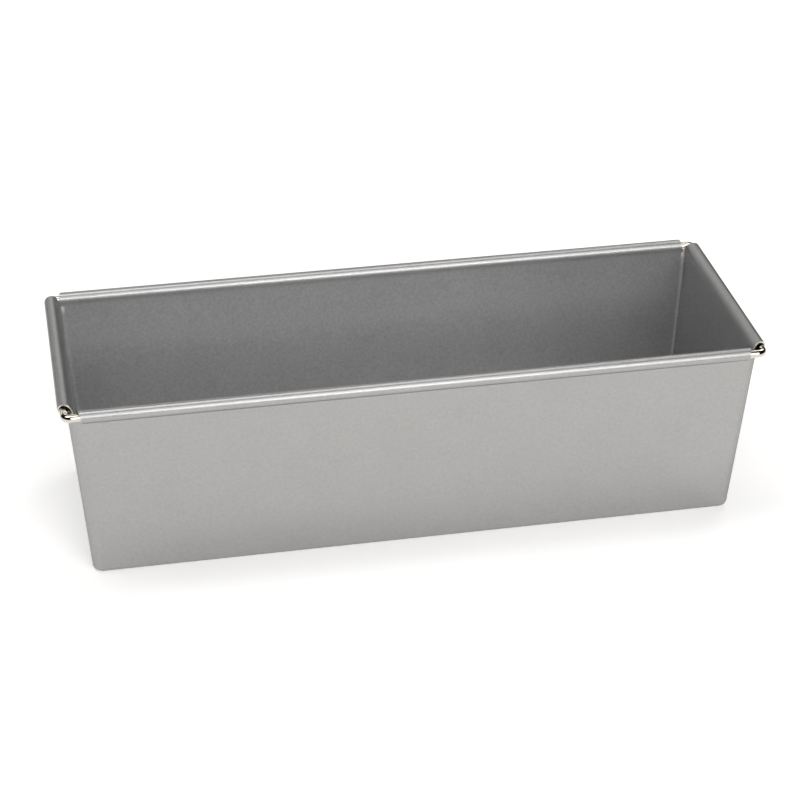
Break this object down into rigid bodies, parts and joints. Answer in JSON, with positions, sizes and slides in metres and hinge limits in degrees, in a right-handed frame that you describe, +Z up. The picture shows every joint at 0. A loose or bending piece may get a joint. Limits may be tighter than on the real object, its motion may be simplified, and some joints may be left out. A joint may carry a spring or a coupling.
{
  "type": "loaf pan",
  "caption": "Long open loaf pan folded from coated sheet steel, with leaning walls, pleated ends and rims rolled round a bright wire.",
  "frame": {"origin": "middle of the base, on the surface that the pan stands on", "axes": "+X along the pan, +Y across it towards the back wall, +Z up"},
  "size_m": [0.3, 0.11, 0.085],
  "materials": {
    "coated_steel": "satin silver-grey non-stick coating with fine metal flake",
    "bright_wire": "polished nickel-plated steel"
  },
  "bodies": {
    "root": {"pan_body": "coated_steel", "rim_wire": "bright_wire"}
  },
  "joints": []
}
